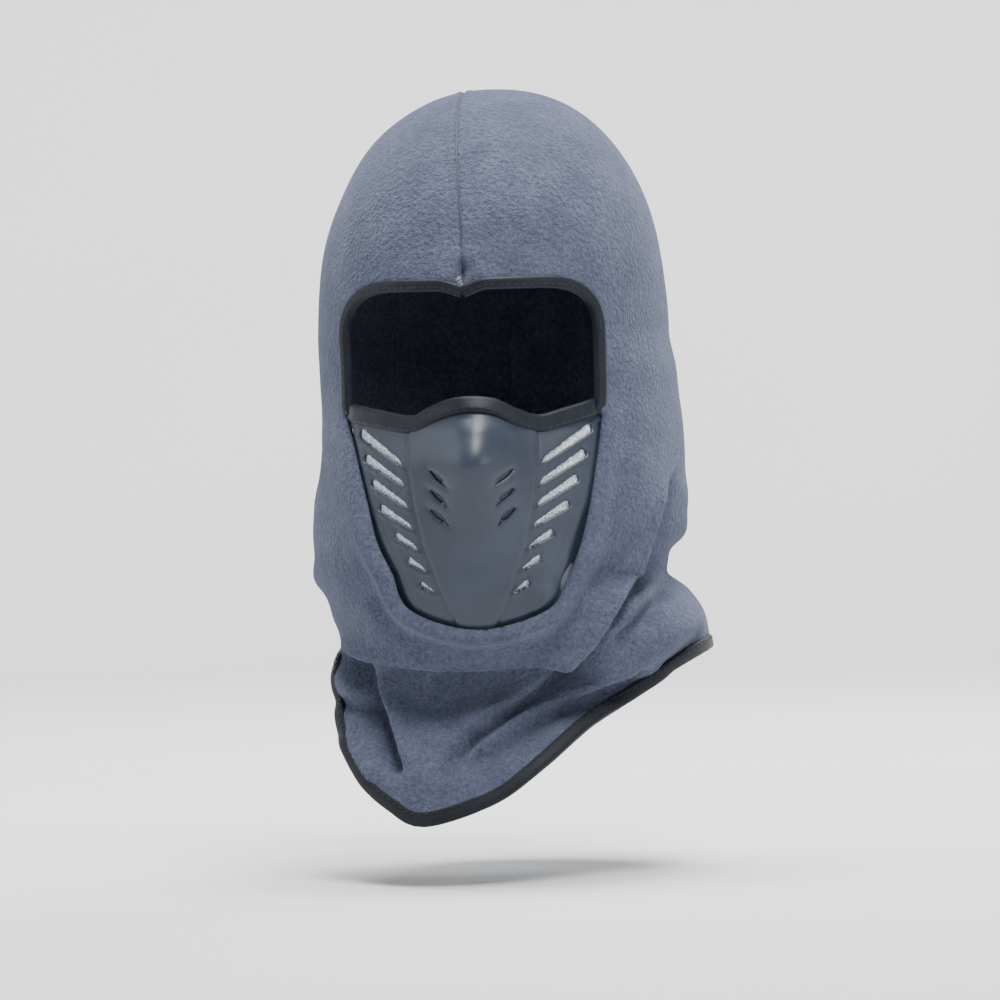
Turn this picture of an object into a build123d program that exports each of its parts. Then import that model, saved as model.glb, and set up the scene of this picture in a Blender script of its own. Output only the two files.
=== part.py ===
"""Fleece balaclava with a moulded breathing mask, shaped as it sits on a head.

Millimetres. The origin is the middle of the head at eye level, +Z is up, the face
looks along -Y and the wearer's left hand is on the +X side. The skirt is worn pulled
round to the wearer's right, so the two sides differ.
"""

import os
from math import atan2, ceil, cos, degrees, exp, radians, sin

from build123d import *

os.makedirs("parts", exist_ok=True)

# ---- driving sizes ------------------------------------------------------------------

# Outer surface of the worn hood, each reach measured from the head's middle.
crown_height = 137.0
widest_height = 24.0  # the dome stands on the ring at this height
dome_left = 79.5
dome_right = 82.5
dome_front = 99.0
dome_back = 108.0
crown_lean_right = 3.0  # how far the top of the dome sits off the middle
crown_lean_back = 8.0
dome_angles = (84, 72, 58, 44, 30, 15, 0)

cheek_left = 81.0
cheek_right = 90.0  # the loose side
cheek_front = 104.0
jaw_height = -104.0
jaw_left = 76.0
jaw_front = 98.0
chin_tuck_height = -140.0  # the hollow between chin and chest
chin_tuck_front = 75.0
nape_back = 86.0
shoulder_height = -118.0
shoulder_right = 99.0  # the skirt spreads over this shoulder
shoulder_left = 71.0
bib_front = 97.0  # the front tail of the skirt, on the chest
bib_left = 84.0

nose_depth = 17.0
nose_half_width = 19.0
nose_height = -38.0
nose_middle = 1.5

# Cloth and mask.
fleece_thick = 2.4
binding_thick = 1.3  # one layer of the folded tape
binding_on_fleece = 2.8  # tape over the fleece, in front view
binding_past_edge = 2.7  # tape beyond the fleece edge
plate_thick = 1.6
plate_recess = 0.4  # plate face below the fleece face
mesh_thick = 0.4
liner_thick = 0.9
liner_lap = 5.0  # liner sewn down behind the fleece
layer_gap = 0.1
sewing_gap = 0.3  # between the plate's rim and the fleece round it

# Opening in the fleece, in front view: eye slot above, mask window below.
slot_top = 43.0
slot_left = -60.7
slot_right = 56.4
slot_corner = 22.0
notch_middle = -3.2  # where the crown seam meets the slot
notch_drop = 3.0
notch_half_width = 9.0
mask_top = -14.0
mask_bottom = -109.3
mask_corner = 14.0

# Binding over the nose.
nose_tape_tall = 8.0
nose_tape_bend = 9.0

# Side vents in the plate, from the top down, and small ones beside the nose.
vent_lengths = (24.0, 22.0, 19.5, 17.5, 13.0, 10.0, 8.0)
vent_first_height = -38.0  # inner end of the top vent
vent_pitch = 9.5
vent_tall = 4.4
vent_slant = 33.0  # degrees; each vent below is a little flatter
vent_slant_step = 1.2
vent_off_shield = 1.5
nose_vent_count = 3
nose_vent_first_height = -43.5
nose_vent_pitch = 8.6
nose_vent_long = 13.0
nose_vent_tall = 2.4
nose_vent_off_middle = 14.5
nose_vent_slant = 44.0

# Centre shield of the plate, between two pressed grooves: half width at each height.
shield_edge = ((29.0, -10.0), (29.0, -40.0), (27.0, -54.0), (23.0, -73.0), (16.5, -91.0), (8.0, -112.0))

# Hem.
hem_tip_x = -26.0
hem_tip_height = -196.0
hem_back_height = -122.0
hem_tape_tall = 4.0
hem_tape_past_edge = 1.2

# Seams and thread.
tape_ends_apart = 1.6  # the two eye tapes stop short of each other at the notch
seam_slit = 0.8
seam_groove = 0.9
seam_allowance = 4.0
seam_ridge = 1.6
seam_crown_x = -9.0
stitch_long = 2.4
stitch_wide = 0.6
stitch_proud = 0.35
stitch_pitch = 4.8
stitch_inset = 1.4
tack_wide = 3.0
tack_tall = 1.6

front_ends = 7.3  # front-view outlines cut as far back as this; behind it the back ones do
BEYOND = 260.0  # longer than anything it has to cut through

# ---- the shape of the hood ----------------------------------------------------------

# height, reach to the left, right, front and back, and how far the nose stands out
lower_rings = (
    (6.0, dome_left - 1.0, dome_right + 3.5, dome_front, dome_back - 2.0, 0.1),
    (-10.0, dome_left - 1.5, dome_right + 4.5, dome_front + 1.0, dome_back - 4.0, 0.5),
    (-24.0, dome_left - 1.0, cheek_right - 2.0, cheek_front - 2.0, dome_back - 7.0, 0.8),
    (nose_height, cheek_left - 1.0, cheek_right - 1.0, cheek_front, nape_back + 11.0, 1.0),
    (nose_height - 12.0, cheek_left, cheek_right, cheek_front, nape_back + 8.0, 0.75),
    (nose_height - 26.0, cheek_left + 2.5, cheek_right - 2.5, cheek_front, nape_back + 4.0, 0.2),
    (-82.0, cheek_left + 2.5, cheek_right - 9.0, cheek_front - 2.0, nape_back, 0.0),
    (jaw_height, jaw_left, shoulder_right - 11.0, jaw_front, nape_back - 2.0, 0.0),
    (shoulder_height, shoulder_left, shoulder_right, jaw_front - 6.0, nape_back, 0.0),
    (chin_tuck_height + 8.0, bib_left - 5.0, shoulder_right + 2.0, chin_tuck_front + 4.0, nape_back, 0.0),
    (chin_tuck_height - 8.0, bib_left, shoulder_right + 4.0, chin_tuck_front, nape_back, 0.0),
    (hem_tip_height + 24.0, bib_left, shoulder_right + 7.0, bib_front - 10.0, nape_back, 0.0),
    (hem_tip_height - 12.0, bib_left, shoulder_right + 10.0, bib_front, nape_back, 0.0),
)
# degrees round the ring from the back; close together over the nose
ring_angles = (0, 25, 50, 72, 90, 108, 124, 138, 150, 160, 168, 174)


def ring_point(angle, left, right, front, back, nose, middle_x, middle_y):
    """A point of one ring; the angle runs from the back, round the right, to the front."""
    across = sin(radians(angle))
    along = cos(radians(angle))
    x = across * (right if across > 0 else left)
    y = along * (back if along > 0 else front)
    if along < 0:
        y -= nose * nose_depth * exp(-(((x - nose_middle) / nose_half_width) ** 2))
    return (x + middle_x, y + middle_y)


def ring_outline(left, right, front, back, nose=0.0, middle_x=0.0, middle_y=0.0):
    """All the points of one ring, from the middle of the back and round."""
    turns = list(ring_angles) + [180] + [360 - a for a in reversed(ring_angles) if a > 0]
    return [ring_point(a, left, right, front, back, nose, middle_x, middle_y) for a in turns]


def hood_form(offset):
    """The solid inside the hood's outer surface, moved out by offset."""
    rings = []
    for angle in dome_angles:
        rise = sin(radians(angle))
        spread = cos(radians(angle))
        height = widest_height + (crown_height + offset - widest_height) * rise
        reaches = [(reach + offset) * spread for reach in (dome_left, dome_right, dome_front, dome_back)]
        leans = (crown_lean_right * rise**2, crown_lean_back * rise**2)
        rings.append((height, ring_outline(*reaches, 0.0, *leans)))
    for height, left, right, front, back, nose in lower_rings:
        reaches = [reach + offset for reach in (left, right, front, back)]
        rings.append((height, ring_outline(*reaches, nose)))
    with BuildPart() as form:
        for height, points in rings:
            with BuildSketch(Plane.XY.offset(height)):
                with BuildLine():
                    Spline(*points, periodic=True)
                make_face()
        loft(ruled=True)
    return form.part


def hood_shell(outer, inner):
    """The layer between two offsets of the hood's surface; each form is made once."""
    for wanted in (outer, inner):
        if wanted not in forms:
            forms[wanted] = hood_form(wanted)
    with BuildPart() as shell:
        add(forms[outer])
        add(forms[inner], mode=Mode.SUBTRACT)
    return shell.part


# Where each layer starts and stops, as offsets from the fleece's outer surface.
plate_face = -plate_recess
plate_back = plate_face - plate_thick
mesh_face = plate_back - layer_gap
mesh_back = mesh_face - mesh_thick
liner_face = min(mesh_back, -fleece_thick) - layer_gap
liner_back = liner_face - liner_thick
tape_face = layer_gap + binding_thick
fleece_clear = -fleece_thick - layer_gap
eye_tape_back = fleece_clear - binding_thick
nose_tape_inside = plate_face + layer_gap
nose_tape_clear = liner_back - layer_gap
nose_tape_back = nose_tape_clear - binding_thick
seam_ridge_back = fleece_clear - seam_ridge
forms = {}


# ---- outlines in front view: local x is the object's x, local y its height ------------


def through(sketch, back=False):
    """A front-view outline pushed through the front half of the hood, or the back half."""
    with BuildPart() as slab:
        with BuildSketch(Plane.XZ.offset(-front_ends)):
            add(sketch)
        extrude(amount=-BEYOND if back else BEYOND)
    return slab.part


def grown(sketch, amount):
    """The outline moved outwards, or inwards for a negative amount."""
    with BuildSketch() as result:
        add(sketch)
        offset(amount=amount)
    return result.sketch


def dashes(line):
    """A row of stitches along a line, each a short slot turned the way the line runs."""
    count = ceil(line.length / stitch_pitch)
    with BuildSketch() as row:
        for number in range(count):
            place = line.position_at((number + 0.5) / count)
            way = line.tangent_at((number + 0.5) / count)
            with Locations(Location((place.X, place.Y), (0, 0, degrees(atan2(way.Y, way.X))))):
                SlotOverall(stitch_long, stitch_wide)
    return row.sketch


mask_left_edge = ((-41.5, -75.0), (-28.0, -101.0), (-8.0, mask_bottom))
mask_right_edge = ((11.0, mask_bottom), (28.5, -102.5), (43.0, -76.0))
slot_edge = (
    (slot_left, mask_top),
    (slot_left, slot_top),
    (notch_middle - notch_half_width, slot_top),
    (notch_middle, slot_top - notch_drop),
    (notch_middle + notch_half_width, slot_top),
    (slot_right, slot_top),
    (slot_right, mask_top),
)

with BuildSketch() as opening:
    with BuildLine():
        Polyline(*slot_edge, *reversed(mask_right_edge), *reversed(mask_left_edge), close=True)
    make_face()
    slot_corners = opening.vertices().filter_by(
        lambda corner: corner.Y == slot_top and corner.X in (slot_left, slot_right)
    )
    fillet(slot_corners, slot_corner)
    fillet(opening.vertices().group_by(Axis.Y)[0], mask_corner)

# The tape over the nose dips under each eye and arches over the bridge.
nose_arch = nose_middle + 1.0
nose_tape_top = (
    (slot_left - 4.0, mask_top + 8.0),
    (nose_arch - 33.0, mask_top - 2.5),
    (nose_arch - 10.0, mask_top + 7.0),
    (nose_arch + 10.0, mask_top + 7.0),
    (nose_arch + 30.0, mask_top - 3.0),
    (slot_right + 4.0, mask_top + 8.0),
)


def nose_tape_line(drop):
    """The curve of the tape's top edge, lowered by drop, in the open sketch."""
    points = [(x, height - drop) for x, height in nose_tape_top]
    return FilletPolyline(*points, radius=nose_tape_bend)


with BuildSketch() as below_nose_tape:  # everything under the middle of the tape
    with BuildLine():
        middle = nose_tape_line(nose_tape_tall / 2)
        Polyline(middle @ 1, (BEYOND, -BEYOND), (-BEYOND, -BEYOND), middle @ 0)
    make_face()

with BuildSketch() as nose_tape:
    with BuildLine():
        top = nose_tape_line(0.0)
        bottom = nose_tape_line(nose_tape_tall)
        Line(top @ 1, bottom @ 1)
        Line(bottom @ 0, top @ 0)
    make_face()

# ---- cutting shapes -------------------------------------------------------------------

hem_front_line = (
    (-BEYOND / 2, hem_back_height),
    (-shoulder_left - 1.0, hem_back_height - 5.0),
    (-shoulder_left + 1.0, chin_tuck_height - 12.0),
    (-shoulder_left + 14.0, hem_tip_height + 19.0),
    (hem_tip_x - 16.0, hem_tip_height + 6.5),
    (hem_tip_x, hem_tip_height),
    (4.0, hem_tip_height + 9.0),
    (24.0, hem_tip_height + 22.0),
    (50.0, hem_tip_height + 44.0),
    (70.0, hem_tip_height + 55.0),
    (shoulder_right, hem_back_height),
    (BEYOND / 2, hem_back_height),
)


def above_hem(lift):
    """The two halves of everything above the hem, raised by lift."""
    front_points = [(x, height + lift) for x, height in hem_front_line]
    with BuildSketch() as front_view:
        with BuildLine():
            Polyline(*front_points)
            Polyline(
                front_points[-1], (BEYOND / 2, BEYOND), (-BEYOND / 2, BEYOND), front_points[0]
            )
        make_face()
    with BuildSketch() as back_view:
        with BuildLine():
            Polyline(
                (-BEYOND / 2, hem_back_height + lift),
                (BEYOND / 2, hem_back_height + lift),
                (BEYOND / 2, BEYOND),
                (-BEYOND / 2, BEYOND),
                close=True,
            )
        make_face()
    with BuildPart() as kept:
        add(through(front_view.sketch))
        add(through(back_view.sketch, back=True))
    return kept.part

eye_tape_end = mask_top + 2.0
with BuildSketch() as eye_tape:  # follows the slot's top and sides down to the mask's corners
    add(grown(opening.sketch, binding_on_fleece))
    add(grown(opening.sketch, -binding_past_edge), mode=Mode.SUBTRACT)
    with Locations((0, eye_tape_end + BEYOND / 2)):
        Rectangle(BEYOND, BEYOND, mode=Mode.INTERSECT)


def shield_half_width(height):
    """How wide the centre shield is at a height, each side of the middle."""
    for (upper_width, upper), (lower_width, lower) in zip(shield_edge, shield_edge[1:]):
        if lower <= height <= upper:
            share = (upper - height) / (upper - lower)
            return upper_width + (lower_width - upper_width) * share
    return shield_edge[-1][0]


def beside_shield(side, inset):
    """The plate area outside the shield on one side; side is -1 or 1."""
    with BuildSketch() as area:
        with BuildLine():
            inner = [(side * (width - inset), height) for width, height in shield_edge]
            Polyline(*inner, (side * BEYOND, -BEYOND), (side * BEYOND, 0), close=True)
        make_face()
        add(below_nose_tape.sketch, mode=Mode.INTERSECT)
        add(grown(opening.sketch, -sewing_gap - 1.0), mode=Mode.INTERSECT)
    return area.sketch


def seam_strip(width):
    """The crown and back seams in front view, as two strips of that width."""
    with BuildSketch() as over_brow:
        with BuildLine():
            Line((notch_middle, slot_top - 10.0), (seam_crown_x, crown_height + 10.0))
        trace(line_width=width)
    with BuildSketch() as down_back:
        with BuildLine():
            Line((seam_crown_x, crown_height + 10.0), (notch_middle, hem_back_height - 10.0))
        trace(line_width=width)
    with BuildPart() as strip:
        add(through(over_brow.sketch))
        add(through(down_back.sketch, back=True))
    return strip.part


def layer_in(outer, inner, *areas):
    """The part of a thin shell inside every one of the front-view areas."""
    with BuildPart() as layer:
        add(hood_shell(outer, inner))
        with BuildSketch(Plane.XZ):
            add(areas[0])
            for area in areas[1:]:
                add(area, mode=Mode.INTERSECT)
        extrude(amount=BEYOND, mode=Mode.INTERSECT)
    return layer.part


# ---- pieces ---------------------------------------------------------------------------

with BuildPart() as hood_fleece:
    add(hood_shell(0.0, -fleece_thick))
    add(through(opening.sketch), mode=Mode.SUBTRACT)
    add(above_hem(0.0), mode=Mode.INTERSECT)
    add(seam_strip(seam_slit), mode=Mode.SUBTRACT)

with BuildPart() as seam_overlock:  # thread in the slit and the trimmed edges behind it
    add(hood_shell(-seam_groove, seam_ridge_back))
    add(seam_strip(seam_slit - 2 * layer_gap), mode=Mode.INTERSECT)
    with BuildPart(mode=Mode.PRIVATE) as allowance:
        add(hood_shell(fleece_clear, seam_ridge_back))
        add(seam_strip(seam_allowance), mode=Mode.INTERSECT)
    add(allowance.part)
    add(above_hem(hem_tape_tall + layer_gap), mode=Mode.INTERSECT)
    add(through(grown(opening.sketch, binding_on_fleece + layer_gap)), mode=Mode.SUBTRACT)

with BuildSketch() as vents:
    for side in (-1, 1):
        for number, length in enumerate(vent_lengths):
            slant = vent_slant - vent_slant_step * number
            height = vent_first_height - vent_pitch * number
            inner_end = shield_half_width(height) + vent_off_shield
            middle_x = inner_end + length / 2 * cos(radians(slant))
            middle_height = height + length / 2 * sin(radians(slant))
            with Locations(Location((side * middle_x, middle_height), (0, 0, side * slant))):
                SlotOverall(length, vent_tall)
        for number in range(nose_vent_count):
            place = (
                nose_middle + side * (nose_vent_off_middle - number),
                nose_vent_first_height - nose_vent_pitch * number,
            )
            with Locations(Location(place, (0, 0, side * nose_vent_slant))):
                SlotOverall(nose_vent_long, nose_vent_tall)

with BuildSketch() as plate_area:
    add(grown(opening.sketch, -sewing_gap))
    add(below_nose_tape.sketch, mode=Mode.INTERSECT)
    add(grown(eye_tape.sketch, layer_gap), mode=Mode.SUBTRACT)

with BuildPart() as mask_plate:
    add(layer_in(plate_face, plate_back, plate_area.sketch))
    add(through(vents.sketch), mode=Mode.SUBTRACT)

with BuildSketch() as liner_area:
    add(grown(opening.sketch, liner_lap))
    add(below_nose_tape.sketch, mode=Mode.INTERSECT)
    add(grown(eye_tape.sketch, layer_gap), mode=Mode.SUBTRACT)

with BuildSketch() as over_nose:  # the part of the nose tape above the edges it folds over
    add(nose_tape.sketch)
    with Locations((0, layer_gap)):
        add(below_nose_tape.sketch, mode=Mode.SUBTRACT)

with BuildSketch() as eye_tape_edge:  # the part of the eye tape inside the fleece's edge
    add(eye_tape.sketch)
    add(grown(opening.sketch, -layer_gap), mode=Mode.INTERSECT)

inside_eye_tape = grown(opening.sketch, -binding_past_edge - layer_gap)
nose_tape_layers = (
    (tape_face, nose_tape_inside, nose_tape.sketch),
    (nose_tape_inside, nose_tape_clear, over_nose.sketch),
    (nose_tape_clear, nose_tape_back, nose_tape.sketch),
)
with BuildPart() as nose_binding:
    for outer, inner, area in nose_tape_layers:
        add(layer_in(outer, inner, area, inside_eye_tape))

with BuildPart() as hem_binding:  # the outer face of the folded tape
    add(hood_shell(tape_face, layer_gap))
    add(above_hem(-hem_tape_past_edge), mode=Mode.INTERSECT)
    add(above_hem(hem_tape_tall), mode=Mode.SUBTRACT)

pieces = {
    "hood_fleece": hood_fleece.part,
    "seam_overlock": seam_overlock.part,
    "mask_plate": mask_plate.part,
    "mask_liner": layer_in(liner_face, liner_back, liner_area.sketch),
    "nose_binding": nose_binding.part,
    "hem_binding": hem_binding.part,
}

# The wearer's right is the -X side.
for side_name, side in (("right", -1), ("left", 1)):
    pieces[f"vent_mesh_{side_name}"] = layer_in(mesh_face, mesh_back, beside_shield(side, 2.0))
    with BuildSketch() as one_side:
        with Locations((notch_middle + side * (BEYOND / 2 + tape_ends_apart / 2), 0)):
            Rectangle(BEYOND, BEYOND)
    eye_tape_layers = (
        (tape_face, layer_gap, eye_tape.sketch),
        (layer_gap, fleece_clear, eye_tape_edge.sketch),
        (fleece_clear, eye_tape_back, eye_tape.sketch),
    )
    with BuildPart() as eye_binding:
        for outer, inner, area in eye_tape_layers:
            add(layer_in(outer, inner, area, one_side.sketch))
    pieces[f"eye_binding_{side_name}"] = eye_binding.part

# Thread rows: short stitches lying on the face that they hold down.
with BuildSketch() as under_nose_tape:
    with Locations((0, mask_top - nose_tape_tall - BEYOND / 2)):
        Rectangle(BEYOND, BEYOND)
with BuildSketch() as above_eye_tape_end:
    with Locations((0, eye_tape_end + stitch_long + BEYOND / 2)):
        Rectangle(BEYOND, BEYOND)
with BuildLine() as nose_row:
    nose_tape_line(nose_tape_tall - stitch_inset)
mask_row = grown(opening.sketch, -sewing_gap - stitch_inset).wires()[0]
eye_row = grown(opening.sketch, stitch_inset).wires()[0]
tape_thread = (tape_face + layer_gap / 2 + stitch_proud, tape_face + layer_gap / 2)
plate_thread = (plate_face + layer_gap / 2 + stitch_proud, plate_face + layer_gap / 2)
pieces["mask_stitches"] = layer_in(*plate_thread, dashes(mask_row), under_nose_tape.sketch)
pieces["eye_binding_stitches"] = layer_in(
    *tape_thread, dashes(eye_row), above_eye_tape_end.sketch
)
pieces["nose_binding_stitches"] = layer_in(
    *tape_thread, dashes(nose_row.wires()[0]), grown(opening.sketch, -binding_past_edge - stitch_long)
)

with BuildLine() as hem_front_row:
    Polyline(*[(x, height + hem_tape_tall - stitch_inset) for x, height in hem_front_line[1:-1]])
with BuildLine() as hem_back_row:
    row_height = hem_back_height + hem_tape_tall - stitch_inset
    Line((-nape_back, row_height), (nape_back, row_height))
with BuildPart() as hem_stitches:
    for row, back in ((hem_front_row, False), (hem_back_row, True)):
        with BuildPart(mode=Mode.PRIVATE) as half:
            add(hood_shell(*tape_thread))
            add(through(dashes(row.wires()[0]), back), mode=Mode.INTERSECT)
        add(half.part)
pieces["hem_stitches"] = hem_stitches.part

with BuildSketch() as tack:
    with Locations((notch_middle, slot_top - notch_drop + tack_tall / 2)):
        Rectangle(tack_wide, tack_tall)
pieces["notch_bar_tack"] = layer_in(*tape_thread, tack.sketch)

for name, piece in pieces.items():
    piece.label = name
    print(name, len(piece.solids()), round(piece.volume))
    export_step(piece, f"parts/{name}.step")
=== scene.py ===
"""Soft, finished pieces of the balaclava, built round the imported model.

Everything is worked out in millimetres in the model's own frame: +Z up, -Y the way the
face looks, +X the wearer's left. make_piece() turns it into metres. In the sizes and forms
below left and right are as seen from in front (right is +X); the names of pieces and nodes
go by the wearer's own sides.
"""
import math

import bmesh
import bpy
import numpy as np
from mathutils import Matrix, Vector


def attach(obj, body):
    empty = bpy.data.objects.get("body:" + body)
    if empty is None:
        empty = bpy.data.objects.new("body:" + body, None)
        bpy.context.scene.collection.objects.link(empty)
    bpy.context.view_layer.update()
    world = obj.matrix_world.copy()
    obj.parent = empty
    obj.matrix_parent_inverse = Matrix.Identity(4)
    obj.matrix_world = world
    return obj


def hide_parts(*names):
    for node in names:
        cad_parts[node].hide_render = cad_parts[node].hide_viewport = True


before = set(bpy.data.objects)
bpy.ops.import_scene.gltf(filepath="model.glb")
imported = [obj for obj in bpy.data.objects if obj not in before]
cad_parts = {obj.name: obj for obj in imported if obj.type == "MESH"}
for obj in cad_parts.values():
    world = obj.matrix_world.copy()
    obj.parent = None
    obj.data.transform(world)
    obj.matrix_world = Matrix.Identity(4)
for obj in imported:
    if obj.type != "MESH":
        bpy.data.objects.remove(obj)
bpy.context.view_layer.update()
MM = 0.001

# ---------------------------------------------------------------- driving sizes
CROWN, WIDEST = 137.0, 24.0         # heights of the crown and of the dome's foot
DOME_ROUND = 0.9                    # 1 makes the dome an ellipse, less makes it squarer
LEAN_RIGHT, LEAN_BACK = 3.0, 8.0    # how far the crown is off the middle of the dome's foot
NOSE_DEPTH, NOSE_HALF_WIDTH, NOSE_MIDDLE = 17.0, 19.0, 1.5
FLEECE, PLATE = 2.4, 1.6            # thicknesses
PLATE_INSET = 0.9                   # the mask's face under the fleece's outer form
HEM_BACK = -122.0                   # height of the hem behind
SEAM_PITCH = 4.2                    # from one pull of the seam's thread to the next
# each ring of the form under the dome: height, reach to the left, right, front and back, and
# how much of the nose stands out
RINGS = np.array([
    (WIDEST, 79.5, 82.5, 99.0, 108.0, 0.0),
    (6.0, 78.5, 86.0, 99.0, 106.0, 0.1),
    (-10.0, 78.0, 87.0, 100.0, 104.0, 0.5),
    (-24.0, 78.5, 88.0, 102.0, 101.0, 0.8),
    (-38.0, 80.0, 89.0, 104.0, 97.0, 1.0),
    (-50.0, 81.5, 90.0, 104.0, 94.0, 0.75),
    (-64.0, 83.5, 88.5, 104.0, 90.0, 0.2),
    (-82.0, 83.5, 82.5, 102.0, 86.5, 0.0),
    (-90.0, 81.0, 79.5, 101.0, 85.5, 0.0),
    (-97.0, 78.0, 88.5, 100.0, 84.5, 0.0),
    (-106.0, 75.0, 95.0, 98.0, 84.0, 0.0),
    (-114.0, 72.0, 98.5, 94.5, 84.5, 0.0),
    (-122.0, 72.0, 99.5, 87.0, 85.0, 0.0),
    (-132.0, 77.0, 101.0, 74.5, 86.0, 0.0),
    (-144.0, 81.0, 103.0, 72.0, 86.0, 0.0),
    (-154.0, 83.0, 104.0, 79.0, 86.0, 0.0),
    (-172.0, 84.0, 106.0, 92.0, 86.0, 0.0),
    (-208.0, 84.0, 109.0, 104.0, 86.0, 0.0),
])[::-1]
HEM_LINE = ((-72, -127), (-70, -152), (-57, -177), (-42, -189.5), (-26, -196), (4, -187),
            (24, -174), (50, -152), (70, -141), (99, -122))
EYE_LEFT, EYE_RIGHT, EYE_TOP, EYE_CORNER = -61.0, 56.4, 43.2, 23.0
NOTCH_X, NOTCH_Z = -3.2, 38.6
SEAM_FOOT = 43.0
MASK_RIGHT = ((55.5, -15), (52.5, -37), (48.6, -57), (44.2, -73), (38.2, -90), (29, -102))
MASK_LEFT = ((-29, -100.5), (-36.5, -84), (-43, -71), (-48, -53), (-55.5, -27), (-60.5, -12))
MASK_FOOT = (0, -109.5)
MASK_MIDDLE = (-1.0, -52.0)
RIM_CLEAR = 2.4
SHIELD_EDGE = np.array(((29, -8), (29, -40), (27, -54), (23, -73), (16.5, -91), (8, -112)), float)
NOSE_TAPE = ((-62, -12), (-46, -15.5), (-28, -18.8), (-18, -14.8), (-9, -11.6), (1, -10.6),
             (11, -12), (20, -16.6), (30, -19.6), (42, -16.5), (57, -12))
VENT_LENGTHS = (26.5, 24.5, 22, 19.5, 14, 11, 9)
VENT_FIRST, VENT_PITCH, VENT_TALL, VENT_SLANT, VENT_SLANT_STEP = -38.0, 9.5, 4.4, 33.0, 1.2
VENT_LOWER = 0.26
NOSE_VENT_FIRST, NOSE_VENT_PITCH, NOSE_VENT_LONG, NOSE_VENT_TALL = -43.5, 8.6, 13.5, 2.5
NOSE_VENT_X, NOSE_VENT_SLANT = 14.8, 44.0
# the mask's outer crease on each side, and what the stitch rows measure
OUTER_CREASE = ((50, -52), (42, -64), (37, -76), (29, -96), (25, -104))
TAPE_BEADS = {"long": 2.2, "wide": 0.5, "pitch": 3.4}
HEM_BEADS = {"long": 2.4, "wide": 0.55, "pitch": 4.0}
MASK_BEADS = {"long": 2.4, "wide": 0.6, "pitch": 4.8}
TACK_BEADS = {"long": 2.6, "wide": 0.55, "pitch": 0.95, "slant": 1.35}
# camera: degrees round from the front and of roll, metres away, up and aside, lens in mm
CAMERA_TURN, CAMERA_ROLL, CAMERA_FAR = 5.0, 1.24, 2.2
CAMERA_Z, CAMERA_SIDE = -0.0534, -0.003
CAMERA_LENS, CAMERA_SENSOR = 171.0, 36.0
# area lights: name, place and aim in metres, size, power in watts, colour
LIGHTS = (
    ("key", (0.45, -1.15, 2.05), (0, 0, -0.05), 0.9, 80, (1.0, 0.99, 0.98)),
    ("fill", (1.7, -1.3, 0.5), (0, 0, -0.05), 0.8, 11, (0.95, 0.97, 1.0)),
    ("side", (-2.0, -0.5, 0.9), (0, 0, -0.05), 1.2, 13, (0.9, 0.95, 1.0)),
    ("back", (0.9, 1.3, 1.2), (0, 0, 0), 1.2, 24, (0.92, 0.96, 1.0)),
    ("wall_wash", (0, 0.5, 3.0), (0, 3.3, 0.3), 2.0, 360, (1, 1, 1)),
)
AIR_COLOUR, AIR_STRENGTH = (0.93, 0.96, 1.0, 1), 0.15


# ---------------------------------------------------------------- curves
def hermite(x, xs, ys):
    """Smooth interpolation of ys over rising xs, level at the last x and beyond the ends."""
    x = np.clip(np.asarray(x, float), xs[0], xs[-1])
    slope = np.gradient(ys, xs)
    slope[-1] = 0
    i = np.clip(np.searchsorted(xs, x) - 1, 0, len(xs) - 2)
    step = xs[i + 1] - xs[i]
    t = (x - xs[i]) / step
    keep = (1 + 2 * t) * (1 - t) ** 2 * ys[i] + t * t * (3 - 2 * t) * ys[i + 1]
    return keep + step * (t * (1 - t) ** 2 * slope[i] + t * t * (t - 1) * slope[i + 1])


def ramp(x, low, high):
    """0 below low, 1 above high, smooth between them."""
    t = np.clip((np.asarray(x, float) - low) / (high - low), 0, 1)
    return t * t * (3 - 2 * t)


def bell(x, middle, width):
    """1 at the middle, fading out over about width on both sides."""
    return np.exp(-(((np.asarray(x, float) - middle) / width) ** 2))


def smooth_line(points, step=1.5):
    """A Catmull-Rom curve through points, with one point every step or so."""
    p = np.array(points, float)
    q = np.vstack([2 * p[0] - p[1], p, 2 * p[-1] - p[-2]])
    out = []
    for a, b, c, d in zip(q, q[1:], q[2:], q[3:]):
        count = max(2, int(np.linalg.norm(c - b) / step))
        for t in np.arange(count) / count:
            out.append(0.5 * (2 * b + (c - a) * t + (2 * a - 5 * b + 4 * c - d) * t * t
                              + (3 * b - a - 3 * c + d) * t ** 3))
    out.append(p[-1])
    return np.array(out)


def even(line, step=1.2):
    """The line again with points at even steps, straight between its own points."""
    length = np.r_[0, np.cumsum(np.hypot(*np.diff(line, axis=0).T))]
    at = np.linspace(0, length[-1], max(3, int(length[-1] / step)))
    return np.stack([np.interp(at, length, line[:, k]) for k in range(line.shape[1])], -1)


def rounded(points, radii, steps=8):
    """The outline with each corner rounded, starting its own radius away from the corner."""
    p = np.array(points, float)
    out = []
    for i, radius in enumerate(radii):
        before, corner, after = p[i - 1], p[i], p[(i + 1) % len(p)]
        if not radius:
            out.append(corner)
            continue
        a = corner + (before - corner) / np.linalg.norm(before - corner) * radius
        b = corner + (after - corner) / np.linalg.norm(after - corner) * radius
        for t in np.linspace(0, 1, steps + 1):
            out.append((1 - t) ** 2 * a + 2 * t * (1 - t) * corner + t * t * b)
    return np.array(out)


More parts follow.
